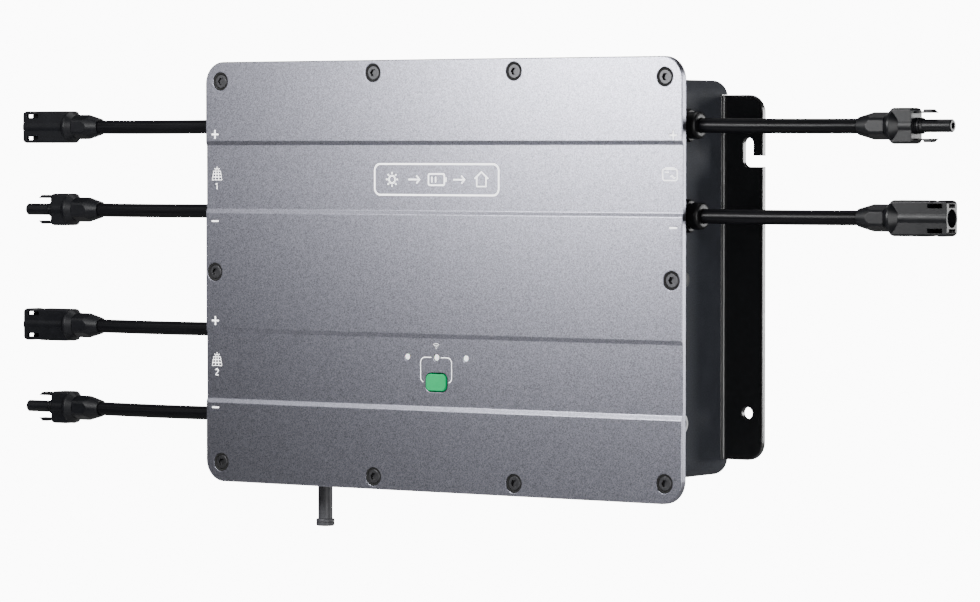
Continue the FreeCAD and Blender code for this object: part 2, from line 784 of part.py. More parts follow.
def make_brackets():
    height = ("-bracket_bottom", "bracket_top")
    leg = box("bracket_leg", ("bracket_inner", "bend_start"), ("-sheet_thick", "0"), height)
    rear_bend = bend("rear_bend", "bend_start", f"-{BEND_OUTSIDE}", f"90 deg - {BEND_ANGLE}")
    front_bend = bend("front_bend", FLANGE_START, f"-flange_offset + bend_inside",
                      f"270 deg - {BEND_ANGLE}")
    flange = box("bracket_flange", (FLANGE_START, "flange_edge"),
                 ("-flange_offset - sheet_thick", "-flange_offset"), height)
    flange_front = "(-flange_offset - sheet_thick)"
    upstand = box("bracket_upstand", (f"{WALL_X} - upstand_thick", WALL_X),
                  ("-upstand_front", "-sheet_thick"), height)
    web = box("bracket_web", (f"{WALL_X} - 1", FLANGE_START), (flange_front, f"{flange_front} + 2"), height)
    cove = cut("bracket_cove",
               box("cove_block", (f"{WALL_X} - 1", f"{WALL_X} + upstand_cove"),
                   (f"{flange_front} - upstand_cove", f"{flange_front} + 1"), height),
               [rod("cove_round", "upstand_cove",
                    (f"{WALL_X} + upstand_cove", f"{flange_front} - upstand_cove",
                     f"-bracket_bottom - {PAST}"), "+z", f"bracket_top + bracket_bottom + 2 * {PAST}")])
    sheet_metal = join("bracket_sheet", [leg, rear_bend, front_bend, flange, upstand, web, cove])
    outline = rounded_bar("bracket_outline", "y", "2 * flange_edge", "bracket_top + bracket_bottom",
                          "bracket_corner", *THROUGH, ("0", "(bracket_top - bracket_bottom) / 2"))
    rounded = shared("bracket_rounded", sheet_metal, outline)
    half = "hook_width / 2"
    tools = [
        box("hook_slot", ("hook_left", "hook_left + hook_width"), THROUGH,
            ("hook_bottom + hook_width / 2", f"hook_top - {half}")),
        rod("hook_slot_top", half, (f"hook_left + {half}", f"-{LONG}", f"hook_top - {half}"), "+y", LONG),
        rod("hook_slot_foot", half, (f"hook_left + {half}", f"-{LONG}", f"hook_bottom + {half}"), "+y",
            LONG),
        box("hook_mouth", (f"hook_left + {half}", f"flange_edge + {PAST}"), THROUGH,
            ("hook_bottom", "hook_mouth_top")),
        rod("lower_hole", "lower_hole_radius", ("lower_hole_x", f"-{LONG}", "-lower_hole_z"), "+y", LONG),
    ]
    for count, level in enumerate(BRACKET_SCREW_HEIGHTS):
        tools.append(cone(f"bracket_countersink_{count}", "bracket_screw_radius", "bracket_screw_head",
                          ("bracket_screw_x", "bracket_screw_radius - bracket_screw_head", level), "+y",
                          "bracket_screw_head - bracket_screw_radius"))
        tools.append(rod(f"bracket_hole_{count}", "bracket_screw_radius",
                         ("bracket_screw_x", f"-{LONG}", level), "+y", f"2 * {LONG}"))
    right = node("bracket_right", cut("bracket_right", rounded, tools))
    node("bracket_left", mirrored("bracket_left", right))


def make_bracket_screws():
    origin = ("0", "0", "0")
    solid = turned("bracket_screw_solid", origin, "-y",
                   [("bracket_screw_head", "bracket_screw_radius",
                     "bracket_screw_head - bracket_screw_radius"),
                    ("bracket_screw_radius", "bracket_screw_radius",
                     "bracket_screw_length - bracket_screw_head + bracket_screw_radius")])
    key = hexagon("bracket_screw_key", "1.9", ("0", "1", "0"), "-y", "2.6")
    screw = cut("bracket_screw", solid, [key])
    copies = [
        copy_of(f"bracket_screw_{side + 1}_{count}", screw, (f"{side} * bracket_screw_x", "0", level))
        for side in (-1, 1) for count, level in enumerate(BRACKET_SCREW_HEIGHTS)
    ]
    node("bracket_screws", group("bracket_screws", copies))


# ---------------------------------------------------------------- button, lights, front board

BUTTON_FACE = f"({BAND_FRONT} - button_proud)"
FLANGE_FACE = f"({COVER_BACK} + 0.15)"
FLANGE_BACK = f"({FLANGE_FACE} + button_flange_thick)"
PLUNGER_FACE = f"({FRONT_BOARD_FACE} - 4.5)"


def make_button():
    cap = rounded_bar("button_cap", "y", "button_width", "button_height", "button_corner",
                      BUTTON_FACE, f"{FLANGE_FACE} + 0.5", ("0", "button_z"))
    soften(cap, "Fillet", 0.0, "button_crown")
    flange = rounded_bar("button_flange_plate", "y", "button_width + 2 * button_flange",
                         "button_height + 2 * button_flange", "button_corner + button_flange",
                         FLANGE_FACE, FLANGE_BACK, ("0", "button_z"))
    stem = rod("button_stem", "stem_radius", ("0", f"{FLANGE_BACK} - 0.5", "button_z"), "+y",
               f"{PLUNGER_FACE} - {FLANGE_BACK} + 0.5")
    node("power_button", join("power_button", [cap, flange, stem]))

    node("switch_plunger", rod("switch_plunger", "1.7", ("0", PLUNGER_FACE, "button_z"), "+y", "2.2"))
    can = rounded_bar("switch_can", "y", "6.2", "6.2", "0.4", f"{FRONT_BOARD_FACE} - 3.5",
                      FRONT_BOARD_FACE, ("0", "button_z"))
    bore = rod("switch_bore", "1.8", ("0", f"{FRONT_BOARD_FACE} - 5", "button_z"), "+y", "3.9")
    node("tact_switch", cut("tact_switch", can, [bore]))

    frame = rounded_bar("seal_outer", "y", "button_width + 10", "button_height + 9", "5",
                        COVER_BACK, f"{COVER_BACK} + 3", ("0", "button_z"))
    opening = rounded_bar("seal_inner", "y", "button_width + 2 * button_flange + 0.8",
                          "button_height + 2 * button_flange + 0.8", "button_corner + button_flange",
                          f"{COVER_BACK} - 1", f"{COVER_BACK} + 4", ("0", "button_z"))
    node("button_seal", cut("button_seal", frame, [opening]))


def make_lights():
    pipes = []
    lamps = []
    for count, (x, z) in enumerate(light_places()):
        pipes.append(turned(f"light_pipe_{count}", (x, f"{BAND_FRONT} + light_sink", z), "+y",
                            [("light_radius - 0.3", "light_radius", "0.3"),
                             ("light_radius", "light_radius",
                              f"{COVER_BACK} - {BAND_FRONT} - light_sink - 0.3"),
                             ("light_radius + 0.7", "light_radius + 0.7", "0.8"),
                             ("1.4", "1.4", "front_board_gap - 2.2")]))
        lamps.append(box(f"lamp_{count}", centred(x, "2"), (f"{FRONT_BOARD_FACE} - 1", FRONT_BOARD_FACE),
                         centred(z, "1.6")))
    node("light_pipes", group("light_pipes", pipes))
    node("status_leds", group("status_leds", lamps))


def make_front_board():
    board = rounded_bar("front_board_plate", "y", "front_board_width", "front_board_height", "2",
                        FRONT_BOARD_FACE, FRONT_BOARD_BACK, ("0", "front_board_z"))
    holes = rods_at("front_board_hole", STANDOFF_PLACES, "small_screw_radius + 0.1",
                    f"{FRONT_BOARD_FACE} - 1", f"{FRONT_BOARD_BACK} + 1")
    node("front_board", cut("front_board", board, holes))
    screws = [
        turned(f"front_board_screw_{count}", (x, f"{FRONT_BOARD_BACK} + 1.2", z), "-y",
               [("1.9", "1.9", "1.2"), ("small_screw_radius", "small_screw_radius", "board_thick + 5")])
        for count, (x, z) in enumerate(STANDOFF_PLACES)
    ]
    node("front_board_screws", group("front_board_screws", screws))
    can = box("wifi_can", centred("14", "17"), (FRONT_BOARD_BACK, f"{FRONT_BOARD_BACK} + 3"),
              centred("front_board_z + 2", "24"))
    node("wifi_module", can)
    header = box("board_header", centred("-14", "20"), (FRONT_BOARD_BACK, BOARD_FRONT),
                 centred("front_board_z - 10", "5"))
    node("board_header", header)


# ---------------------------------------------------------------- main board

def board_box(label, x, z, width, height, tall):
    """A component that stands on the front face of the main board."""
    return box(label, centred(x, width), (f"{BOARD_FRONT} - {tall}", BOARD_FRONT), centred(z, height))


def make_main_board():
    board = rounded_bar("main_board_plate", "y", "main_board_width", "main_board_top + main_board_bottom",
                        "3", BOARD_FRONT, BOARD_BACK,
                        ("0", "(main_board_top - main_board_bottom) / 2"))
    holes = rods_at("main_board_hole", BOSS_PLACES, "boss_hole_radius + 0.1",
                    f"{BOARD_FRONT} - 1", f"{BOARD_BACK} + 1")
    node("main_board", cut("main_board", board, holes))
    screws = [
        turned(f"board_screw_{count}", (x, f"{BOARD_FRONT} - 2", z), "+y",
               [("2.8", "2.8", "2"), ("boss_hole_radius", "boss_hole_radius", "board_thick + 8")])
        for count, (x, z) in enumerate(BOSS_PLACES)
    ]
    node("board_screws", group("board_screws", screws))


def make_power_stage():
    coils = []
    for side in (-1, 1):
        middle = (f"{side} * coil_x", f"{BOARD_FRONT} - coil_tall", "coil_z")
        coil = rod(f"coil_{side + 1}", "coil_radius", middle, "+y", "coil_tall")
        hole = rod(f"coil_hole_{side + 1}", "coil_bore", (middle[0], f"{middle[1]} - 1", "coil_z"), "+y",
                   "coil_tall + 2")
        coils.append(cut(f"inductor_{side + 1}", coil, [hole]))
    node("inductors", group("inductors", coils))

    cans = []
    for column in CAPACITOR_COLUMNS:
        for level in CAPACITOR_ROWS:
            at = (f"{column}", f"{BOARD_FRONT} - capacitor_tall", f"{level}")
            cans.append(turned(f"capacitor_{len(cans)}", at, "+y",
                               [("capacitor_radius", "capacitor_radius", "capacitor_tall - 3.5"),
                                ("capacitor_radius - 0.5", "capacitor_radius - 0.5", "1"),
                                ("capacitor_radius", "capacitor_radius", "2.5")]))
    node("capacitors", group("capacitors", cans))

    devices = []
    pads = []
    for side in (-1, 1):
        for place in DEVICE_PLACES:
            devices.append(box(f"transistor_{len(devices)}", centred(f"{side} * pedestal_x + {place}",
                                                                     "device_width"),
                               (BOARD_BACK, f"{BOARD_BACK} + device_thick"),
                               centred("pedestal_z", "device_height")))
        pads.append(box(f"thermal_pad_{side + 1}",
                        centred(f"{side} * pedestal_x", "pedestal_length - 4"),
                        (f"{BOARD_BACK} + device_thick", "-pedestal_top"),
                        centred("pedestal_z", "pedestal_height - 2")))
    node("power_transistors", group("power_transistors", devices))
    node("thermal_pads", group("thermal_pads", pads))

    relays = [board_box(f"relay_{count}", "relay_x", level, "relay_width", "relay_height", "relay_tall")
              for count, level in enumerate(RELAY_ROWS)]
    node("relays", group("relays", relays))


def make_terminals():
    blocks = []
    leads = []
    for side, table in ((-1, LEFT_LEADS), (1, RIGHT_LEADS)):
        axis = "+x" if side > 0 else "-x"
        for name, (level, _) in table.items():
            middle = f"{side} * terminal_x"
            block = board_box(f"terminal_{name}", middle, level, "terminal_width", "terminal_height",
                              "terminal_tall")
            bore = rod(f"terminal_bore_{name}", "lead_hole_radius", (middle, "-lead_axis", level), axis,
                       "terminal_width")
            blocks.append(cut(f"terminal_block_{name}", block, [bore]))
            leads.append(rod(f"lead_{name}", "lead_radius", (middle, "-lead_axis", level), axis,
                             "lead_meets_cable - end_gap - terminal_x"))
    node("terminal_blocks", group("terminal_blocks", blocks))
    node("inner_leads", group("inner_leads", leads))


# ---------------------------------------------------------------- glands, port, vent, antenna

FLIP = Rotation(Vector(0, 1, 0), 180)


def gland_kit():
    """The pieces of one cable gland along +x, with the outside of the wall at x = 0."""
    origin = ("0", "0", "0")
    hex_end = "gland_ring_thick + gland_hex_length"
    cap_end = f"gland_mouth - {WALL_X}"
    ring = cut("gland_ring", rod("ring_outer", "gland_ring_radius", origin, "+x", "gland_ring_thick"),
               [rod("ring_inner", "gland_thread_radius", ("-1", "0", "0"), "+x", "3")])
    hex_block = shared("gland_hex_block",
                       hexagon("gland_hexagon", "gland_hex_radius", ("gland_ring_thick", "0", "0"),
                               "+x", "gland_hex_length"),
                       turned("gland_hex_turning", ("gland_ring_thick", "0", "0"), "+x",
                              [("gland_hex_radius", "gland_hex_radius", "gland_hex_length - 0.8"),
                               ("gland_hex_radius", "gland_hex_radius - 1", "0.8")]))
    thread = rod("gland_thread", "gland_thread_radius", ("-wall_thick - 5", "0", "0"), "+x",
                 f"wall_thick + 5 + {hex_end}")
    neck = rod("gland_neck", "gland_cap_radius - 1.6", (hex_end, "0", "0"), "+x", "3.6")
    bore = rod("gland_bore", "lead_hole_radius", ("-gland_reach / 2", "0", "0"), "+x", "gland_reach")
    seat = rod("gland_seal_seat", "gland_seal_radius + 0.1", ("1", "0", "0"), "+x", "gland_reach")
    body = cut("gland_body", join("gland_blank", [hex_block, thread, neck]), [bore, seat])
    seal = cut("gland_seal", rod("gland_seal_rod", "gland_seal_radius", ("1", "0", "0"), "+x", "7.5"),
               [rod("gland_seal_bore", "lead_radius", ("0", "0", "0"), "+x", "10")])
    cap_solid = turned("gland_cap_solid", (f"{cap_end} - gland_cap_length", "0", "0"), "+x",
                       [("gland_cap_radius", "gland_cap_radius", "gland_cap_length - gland_cap_round")]
                       + rounded_end("gland_cap_radius", "gland_cap_round"))
    cap_tools = [
        rod("gland_cap_bore", "lead_hole_radius", ("-gland_reach / 2", "0", "0"), "+x", "gland_reach"),
        rod("gland_cap_thread", "gland_cap_radius - 1.5", ("0", "0", "0"), "+x", f"{cap_end} - 2"),
    ]
    cap = cut("gland_cap", cap_solid, cap_tools)
    nut = cut("gland_locknut", hexagon("locknut_hexagon", "gland_hex_radius", ("-wall_thick - 3.5", "0", "0"),
                                       "+x", "3.5"),
              [rod("locknut_bore", "gland_thread_radius", ("-gland_reach / 2", "0", "0"), "+x",
                   "gland_reach")])
    return {"gland_rings": ring, "gland_bodies": body, "gland_seals": seal, "gland_caps": cap,
            "gland_locknuts": nut}


def make_glands():
    for name, master in gland_kit().items():
        copies = []
        for side, table in ((-1, LEFT_LEADS), (1, RIGHT_LEADS)):
            for lead, (level, _) in table.items():
                out = "low_cap_shift" if name == "gland_caps" and abs(level) < 50 else "0"
                at = (f"{side} * ({WALL_X} + {out})", "-lead_axis", level)
                copies.append(copy_of(f"{name}_{lead}", master, at, FLIP if side < 0 else None))
        node(name, group(name, copies))


def make_port():
    wall = (WALL_X, "-port_axis", "port_z")
    solid = join("port_solid", [
        rod("port_flange", "port_radius", wall, "+x", "port_flange"),
        rod("port_barrel", "port_radius - 1", (f"{WALL_X} - 20", "-port_axis", "port_z"), "+x", "20"),
    ])
    bore = rod("port_bore", "port_bore_radius", (f"{WALL_X} - port_bore_depth", "-port_axis", "port_z"), "+x",
               "2 * port_bore_depth")
    node("battery_port", cut("battery_port", solid, [bore]))
    nut = cut("port_nut_blank",
              hexagon("port_nut_hexagon", "port_nut_radius", (f"{INSIDE_X} - 3", "-port_axis", "port_z"),
                      "+x", "3"),
              [rod("port_nut_bore", "port_radius - 1", (f"{INSIDE_X} - 4", "-port_axis", "port_z"),
                   "+x", "5")])
    node("battery_port_nut", nut)
    pins = [
        rod(f"port_pin_{count}", "port_pin_radius",
            (f"{WALL_X} - port_bore_depth", f"-port_axis + ({across})", f"port_z + ({up})"), "+x", "8")
        for count, (across, up) in enumerate([("-2", "1.2"), ("2", "1.2"), ("0", "-2.3")])
    ]
    node("battery_port_pins", group("battery_port_pins", pins))


def make_vent():
    neck = rod("vent_neck", "vent_neck_radius", (f"{INSIDE_X} - 2", "-vent_axis", "0"), "+x",
               "wall_thick + 2")
    head = turned("vent_head", (WALL_X, "-vent_axis", "0"), "+x",
                  [("vent_radius", "vent_radius", "vent_head / 2"),
                   ("vent_radius", "vent_radius - 0.6", "vent_head / 2")])
    bore = rod("vent_bore", "vent_bore_radius", (f"{INSIDE_X} - 4", "-vent_axis", "0"), "+x",
               "wall_thick + 4")
    node("vent_plug", cut("vent_plug", join("vent_solid", [neck, head]), [bore]))


def make_antenna():
    wall = ("antenna_x", "-antenna_axis", f"-{WALL_Z}")
    socket = join("antenna_socket_solid", [
        rod("antenna_thread", "antenna_thread_radius",
            ("antenna_x", "-antenna_axis", f"-{INSIDE_Z} + 5"), "-z", "wall_thick + 5"),
        hexagon("antenna_hexagon", "5.6", wall, "-z", "antenna_hex_length"),
    ])
    node("antenna_socket", socket)
    nut = cut("antenna_nut_blank",
              hexagon("antenna_nut_hexagon", "5", ("antenna_x", "-antenna_axis", f"-{INSIDE_Z}"),
                      "+z", "2.5"),
              [rod("antenna_nut_bore", "antenna_thread_radius + 0.05",
                   ("antenna_x", "-antenna_axis", f"-{INSIDE_Z} - 1"), "+z", "5")])
    node("antenna_nut", nut)
    top = f"-{WALL_Z} - antenna_hex_length"
    length = f"antenna_end - {WALL_Z} - antenna_hex_length - antenna_tip_length"
    whip = turned("antenna_rod", ("antenna_x", "-antenna_axis", top), "-z",
                  [("antenna_tip_radius", "antenna_tip_radius", "antenna_collar"),
                   ("antenna_radius", "antenna_radius", f"{length} - antenna_collar")])
    node("antenna_rod", whip)
    tip_top = "-antenna_end + antenna_tip_length"
    tip = turned("antenna_tip", ("antenna_x", "-antenna_axis", tip_top), "-z",
                 [("antenna_tip_radius - 0.4", "antenna_tip_radius", "0.5"),
                  ("antenna_tip_radius", "antenna_tip_radius", "1.2"),
                  ("antenna_tip_radius - 0.4", "antenna_tip_radius - 0.4", "0.4"),
                  ("antenna_tip_radius", "antenna_tip_radius", "1.3"),
                  ("antenna_tip_radius", "antenna_tip_radius - 0.6",
                   "antenna_tip_length - 3.4")])
    node("antenna_tip", tip)
    node("antenna_pigtail", tube("antenna_pigtail", PIGTAIL_ROUTE, 0.7))


PIGTAIL_ROUTE = [
    (8, -46.2, -70),
    (0, -45.2, -80),
    (-18, -43.0, -86),
    (-42, -41.5, -90),
    (-66, -41.0, -92),
    (-86, -38.5, -93.5),
    (-99, -34.4, -93.8),
    (-100, -34.0, -101.2),
]


# ---------------------------------------------------------------- connectors

def make_nut_master():
    """The faceted cap nut that clamps the cable at the back of a connector."""
    origin = ("0", "0", "0")
    outline = turned("nut_turning", origin, "+x",
                     [("nut_tail_radius", "nut_radius", "nut_taper"),
                      ("nut_radius", "nut_radius", "nut_length - nut_taper")])
    facets = hexagon("nut_facets", "nut_hex_radius", ("-1", "0", "0"), "+x", "nut_length + 2")
    shell = shared("nut_shell", outline, facets)
    tools = [
        rod("nut_bore", "lead_hole_radius", ("-1", "0", "0"), "+x", "nut_length + 2"),
        rod("nut_thread", "5.2", ("nut_taper - 2", "0", "0"), "+x", "nut_length"),
    ]
    return cut("nut_master", shell, tools)


def connector_blank(label, block_end):
    """Threaded spigot, round collar and flat block with the round barrel showing on its faces."""
    spigot = rod(f"{label}_spigot", "5.1", ("nut_taper - 1", "0", "0"), "+x",
                 "collar_start - nut_taper + 2")
    collar = turned(f"{label}_collar", ("collar_start", "0", "0"), "+x",
                    [("nut_radius - 0.3", "collar_radius", "collar_rise"),
                     ("collar_radius", "collar_radius", "1.2"),
                     ("collar_radius", "block_half_width", "4.5")])
    start = "collar_start + collar_rise"
    bar = rounded_bar(f"{label}_bar", "x", "2 * block_half_width", "2 * block_half_height", "block_round",
                      start, block_end)
    outline = rounded_bar(f"{label}_outline", "y", f"{block_end} - ({start})", "2 * block_half_height",
                          "block_corner", *THROUGH, (f"({block_end} + {start}) / 2", "0"))
    block = shared(f"{label}_block", bar, outline)
    barrel = rod(f"{label}_barrel", "barrel_radius", (start, "0", "0"), "+x", f"{block_end} - ({start})")
    return join(f"{label}_blank", [spigot, collar, block, barrel])


def make_socket_master():
    """The connector with a round socket, latch slots and side windows."""
    bore_start = "socket_end - socket_bore_depth"
    tools = [
        rod("socket_bore", "socket_bore_radius", (bore_start, "0", "0"), "+x", "socket_bore_depth + 2"),
        rod("socket_contact_bore", "crimp_radius", ("cable_depth", "0", "0"), "+x",
            f"{bore_start} - cable_depth + 1"),
        rod("socket_cable_bore", "lead_hole_radius", ("0", "0", "0"), "+x", "cable_depth"),
    ]
    for side in (-1, 1):
        slot = ("5.7", "7.7") if side > 0 else ("-7.7", "-5.7")
        window = ("5.4", "7.8") if side > 0 else ("-7.8", "-5.4")
        tools.append(box(f"latch_slot_{side + 1}", ("socket_end - 12", "socket_end + 2"),
                         ("-3.3", "3.3"), slot))
        tools.append(box(f"latch_window_{side + 1}", ("socket_end - 11.8", "socket_end - 2.8"),
                         (f"-block_half_width - {PAST}", "0"), window))
        notch = doc.addObject("Part::Wedge", f"edge_notch_{side + 1}")
        bind(notch, Xmin="socket_end - 9.1", Xmax="socket_end - 8.9",
             X2min="socket_end - 16", X2max="socket_end - 2",
             Ymin="block_half_height - 1.2", Ymax="block_half_height + 1",
             Zmin="-8", Zmax="8", Z2min="-8", Z2max="8")
        notch.Placement = Placement(Vector(), Rotation(AXES["+x"], 90 * side))
        tools.append(notch)
    return cut("socket_master", connector_blank("socket", "socket_end"), tools)


def make_plug_master():
    """The connector with a round hollow plug between two latch arms."""
    ribs = turned("plug_ribs", ("plug_block_end - 1", "0", "0"), "+x",
                  [("plug_rib_radius", "plug_rib_radius", "2"),
                   ("plug_rib_radius - 0.5", "plug_rib_radius - 0.5", "0.8"),
                   ("plug_rib_radius", "plug_rib_radius", "1.2"),
                   ("plug_rib_radius - 0.5", "plug_rib_radius - 0.5", "0.8"),
                   ("plug_rib_radius", "plug_radius", "1")])
    stem = turned("plug_stem", ("plug_block_end - 1", "0", "0"), "+x",
                  [("plug_radius", "plug_radius", "plug_end - plug_block_end + 0.5"),
                   ("plug_radius", "plug_radius - 0.5", "0.5")])
    arms = []
    for side in (-1, 1):
        limits = ("arm_inside", "arm_outside") if side > 0 else ("-arm_outside", "-arm_inside")
        arms.append(box(f"latch_arm_{side + 1}", ("plug_block_end - 1", "plug_block_end + 10"),
                        ("-arm_half_width", "arm_half_width"), limits))
        hook = doc.addObject("Part::Wedge", f"latch_hook_{side + 1}")
        bind(hook, Xmin="plug_block_end + 5", Xmax="plug_block_end + 12",
             X2min="plug_block_end + 6", X2max="plug_block_end + 9.6",
             Ymin="arm_inside", Ymax="arm_hook", Zmin="-arm_half_width", Zmax="arm_half_width",
             Z2min="-arm_half_width", Z2max="arm_half_width")
        hook.Placement = Placement(Vector(), Rotation(AXES["+x"], 90 * side))
        arms.append(hook)
    tools = [
        rod("plug_bore", "contact_radius + 0.2", ("plug_end - plug_bore_depth", "0", "0"), "+x",
            f"plug_bore_depth + {PAST}"),
        rod("plug_contact_bore", "crimp_radius", ("cable_depth", "0", "0"), "+x",
            "plug_end - plug_bore_depth - cable_depth"),
        rod("plug_cable_bore", "lead_hole_radius", ("0", "0", "0"), "+x", "cable_depth"),
    ]
    blank = join("plug_solid", [connector_blank("plug", "plug_block_end"), ribs, stem] + arms)
    return cut("plug_master", blank, tools)


def make_contact_masters():
    """The crimped metal contacts: a pin for the socket connector, a sleeve for the plug."""
    at = ("cable_depth", "0", "0")
    pin = turned("pin_contact", at, "+x",
                 [("crimp_radius", "crimp_radius", "socket_end - socket_bore_depth - cable_depth + 1"),
                  ("contact_radius", "contact_radius", "socket_bore_depth - 7.5"),
                  ("contact_radius", "contact_radius - 0.6", "0.8")])
    sleeve = cut("sleeve_contact", rod("sleeve_rod", "crimp_radius", at, "+x",
                                       "plug_end - plug_bore_depth - cable_depth"),
                 [rod("sleeve_bore", "contact_radius + 0.1", ("plug_end - plug_bore_depth - 12", "0", "0"),
                      "+x", "plug_bore_depth")])
    return {"socket": pin, "plug": sleeve}


def make_connectors():
    bodies = {"socket": make_socket_master(), "plug": make_plug_master()}
    nut = make_nut_master()
    contacts = make_contact_masters()
    for side_name, side, table, tail in (("left", -1, LEFT_LEADS, "left_tail"),
                                         ("right", 1, RIGHT_LEADS, "right_tail")):
        metal = []
        turn = FLIP if side < 0 else None
        for name, (level, kind) in table.items():
            drop = CONNECTOR_DROP.get(name, 0)
            at = (f"{side} * {tail}", "-lead_axis", f"{level} - {drop}")
            node(f"{name}_connector",
                 group(f"{name}_connector", [copy_of(f"{name}_body", bodies[kind], at, turn)]))
            node(f"{name}_nut", group(f"{name}_nut", [copy_of(f"{name}_cap_nut", nut, at, turn)]))
            metal.append(copy_of(f"{name}_contact", contacts[kind], at, turn))
            start = side * number_of("lead_meets_cable")
            end = side * number_of(f"{tail} + cable_depth - end_gap")
            depth = number_of("-lead_axis")
            route = [(start, depth, level), ((start + end) / 2, depth, level - drop / 2 - CABLE_SAG),
                     (end, depth, level - drop)]
            node(f"{name}_cable", tube(f"{name}_cable", route, number_of("lead_radius")))
        node(f"{side_name}_contacts", group(f"{side_name}_contacts", metal))


# ---------------------------------------------------------------- build, check and export

make_front_cover()
make_gasket()
make_cover_screws()
make_housing()
make_brackets()
make_bracket_screws()
make_button()
make_lights()
make_front_board()
make_main_board()
make_power_stage()
make_terminals()
make_glands()
make_port()
make_vent()
make_antenna()
make_connectors()

doc.recompute()
for item in doc.Objects:
    if "Invalid" in item.State or "Error" in item.State:
        raise RuntimeError(f"{item.Label} failed to build: {item.State}")
for name, item in nodes.items():
    if item.Label != name:
        raise RuntimeError(f"{name} lost its name to {item.Label}")
    if item.Shape.isNull() or not item.Shape.isValid() or not item.Shape.Solids:
        raise RuntimeError(f"{name} is not a valid solid")

os.makedirs("parts", exist_ok=True)
for name, item in nodes.items():
    item.Shape.exportStep(f"parts/{name}.step")
    limits = item.Shape.BoundBox
    print(f"{name}: {len(item.Shape.Solids)} solids, volume {item.Shape.Volume:.0f},"
          f" x {limits.XMin:.1f} to {limits.XMax:.1f}, y {limits.YMin:.1f} to {limits.YMax:.1f},"
          f" z {limits.ZMin:.1f} to {limits.ZMax:.1f}")
print(f"{len(nodes)} nodes")
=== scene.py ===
"""Wall-mounted solar hub controller: looks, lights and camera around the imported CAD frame.

Row frame: +Z is up, +Y points into the wall and the cover faces -Y. Blender's unit is the metre;
the sizes below are written in millimetres and turned into metres with MM.
"""

import json
import math

import bpy
import bmesh
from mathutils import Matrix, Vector


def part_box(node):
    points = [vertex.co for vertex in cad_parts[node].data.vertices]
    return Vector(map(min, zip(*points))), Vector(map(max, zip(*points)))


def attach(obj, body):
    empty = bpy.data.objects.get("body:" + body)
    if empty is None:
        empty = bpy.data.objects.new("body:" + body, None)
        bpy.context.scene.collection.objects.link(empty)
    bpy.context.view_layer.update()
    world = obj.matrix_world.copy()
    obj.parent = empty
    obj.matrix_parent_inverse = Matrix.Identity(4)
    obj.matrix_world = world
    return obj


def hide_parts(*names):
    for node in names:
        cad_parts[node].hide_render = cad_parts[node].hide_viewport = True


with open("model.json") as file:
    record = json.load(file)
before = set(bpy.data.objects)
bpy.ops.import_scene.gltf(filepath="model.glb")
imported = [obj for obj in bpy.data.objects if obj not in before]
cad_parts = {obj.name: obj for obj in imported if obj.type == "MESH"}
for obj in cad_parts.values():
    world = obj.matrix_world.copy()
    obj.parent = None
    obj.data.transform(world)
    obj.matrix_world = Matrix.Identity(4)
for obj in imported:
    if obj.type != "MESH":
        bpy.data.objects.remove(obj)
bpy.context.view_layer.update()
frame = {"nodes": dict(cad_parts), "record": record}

MM = 0.001

# ------------------------------------------------------------------ sizes, in millimetres

BAND_DEPTH = 1.2
COVER_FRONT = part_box("front_cover")[0].y / MM
BAND_FRONT = COVER_FRONT + BAND_DEPTH

LEAD_AXIS_Y = -49.0
LEAD_RADIUS = 4.05
LEAD_SAG = 0.5
LEAD_HOLD = 14.0
LEAD_EXIT_X = 164.6
GLAND_GAP = 0.05
LEADS = {
    # side, distance of the connector's tail, height at the gland, drop at the connector
    "input_1_positive": (-1, 256.7, 85.3, 0.0),
    "input_1_negative": (-1, 256.7, 35.5, 0.0),
    "input_2_positive": (-1, 256.7, -34.3, 0.0),
    "input_2_negative": (-1, 256.7, -84.2, 0.0),
    "output_positive": (1, 268.0, 85.0, 0.65),
    "output_negative": (1, 268.0, 35.2, 0.0),
}


def metres(*point):
    """A point in metres from one in millimetres."""
    return Vector(point) * MM


def add_object(name, data):
    """A new object in the scene."""
    item = bpy.data.objects.new(name, data)
    bpy.context.scene.collection.objects.link(item)
    return item


def add_mesh(name, form):
    """A new object from a bmesh, which is used up."""
    mesh = bpy.data.meshes.new(name)
    form.to_mesh(mesh)
    form.free()
    return add_object(name, mesh)


# ------------------------------------------------------------------ camera, floor and lights

CAMERA_PLACE = (1479.4, -2161.7, 71.9)
CAMERA_AZIMUTH = 34.5
CAMERA_TILT_DOWN = 1.92
CAMERA_LENS = 166.3
CAMERA_SENSOR = 36.0
CAMERA_NEAR = 0.1
CAMERA_FAR = 50.0


def make_camera():
    data = bpy.data.cameras.new("camera")
    data.lens = CAMERA_LENS
    data.sensor_width = CAMERA_SENSOR
    data.clip_start = CAMERA_NEAR
    data.clip_end = CAMERA_FAR
    camera = add_object("camera", data)
    camera.location = metres(*CAMERA_PLACE)
    camera.rotation_euler = (math.radians(90 - CAMERA_TILT_DOWN), 0, math.radians(CAMERA_AZIMUTH))
    bpy.context.scene.camera = camera


LIGHTS = [
    # name, place, target, width, height (all in metres), power in watts
    ("cover_light", (-0.16, -0.59, 0.222), (0.1, -0.064, 0.0), 0.22, 0.22, 8.5),
    ("left_fill", (-0.70, -0.75, 0.25), (-0.15, -0.06, 0.02), 0.4, 0.4, 0.6),
    ("top_light", (-0.80, -0.74, 0.93), (0, -0.06, 0), 0.45, 0.45, 2.4),
    ("floor_light", (0, 0.35, 1.9), (0, 0, -0.3), 1.4, 1.4, 22.0),
    ("right_rim", (1.01, 1.17, 0.15), (0.17, -0.06, 0), 0.5, 0.6, 16.0),
    ("side_strip", (1.25, -0.83, 0.0), (0.16, -0.03, 0), 0.2, 1.3, 20.0),
    ("left_rim", (-1.0, 1.2, 0.5), (-0.17, -0.03, 0), 0.9, 0.9, 1.5),
]


